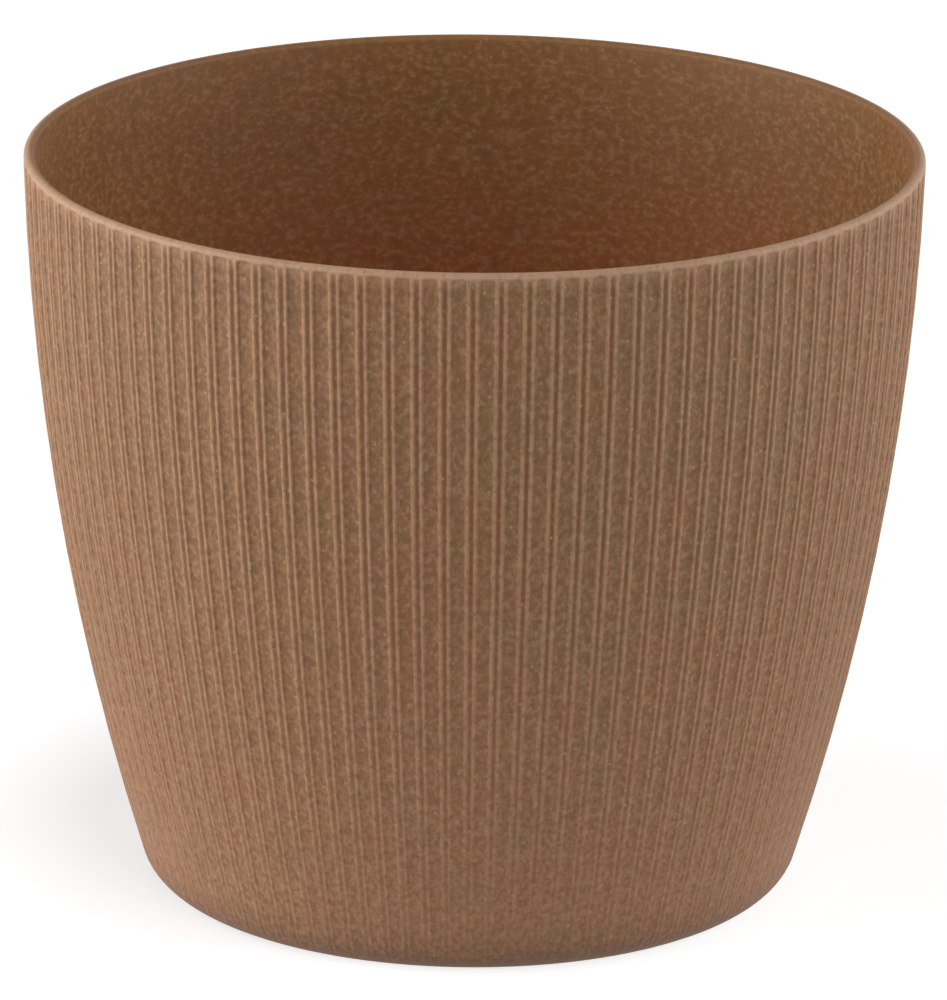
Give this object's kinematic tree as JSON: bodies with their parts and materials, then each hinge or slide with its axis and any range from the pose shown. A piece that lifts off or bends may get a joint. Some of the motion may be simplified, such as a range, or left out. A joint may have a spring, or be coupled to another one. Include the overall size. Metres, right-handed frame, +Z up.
{
  "type": "plant pot",
  "caption": "Round tapering plant pot with a double-ribbed fluted wall, a thin rounded lip, a foot ring and a push-in plug in its drain hole.",
  "frame": {"origin": "centre of the foot ring, on the ground under the pot", "axes": "+Z up along the pot's axis; -Y is the side that faces the viewer"},
  "size_m": [0.18, 0.18, 0.152],
  "materials": {
    "pot_body": "matt brown plastic filled with fine wood fibre, lightly speckled",
    "plug_rubber": "soft matt dark brown rubber"
  },
  "bodies": {
    "pot": {"pot": "pot_body"},
    "plug": {"drain_plug": "plug_rubber"}
  },
  "joints": [
    {"name": "plug_pull", "type": "slide", "parent": "pot", "child": "plug", "axis": [0, 0, 1], "range_m": [0, 0.012]}
  ]
}
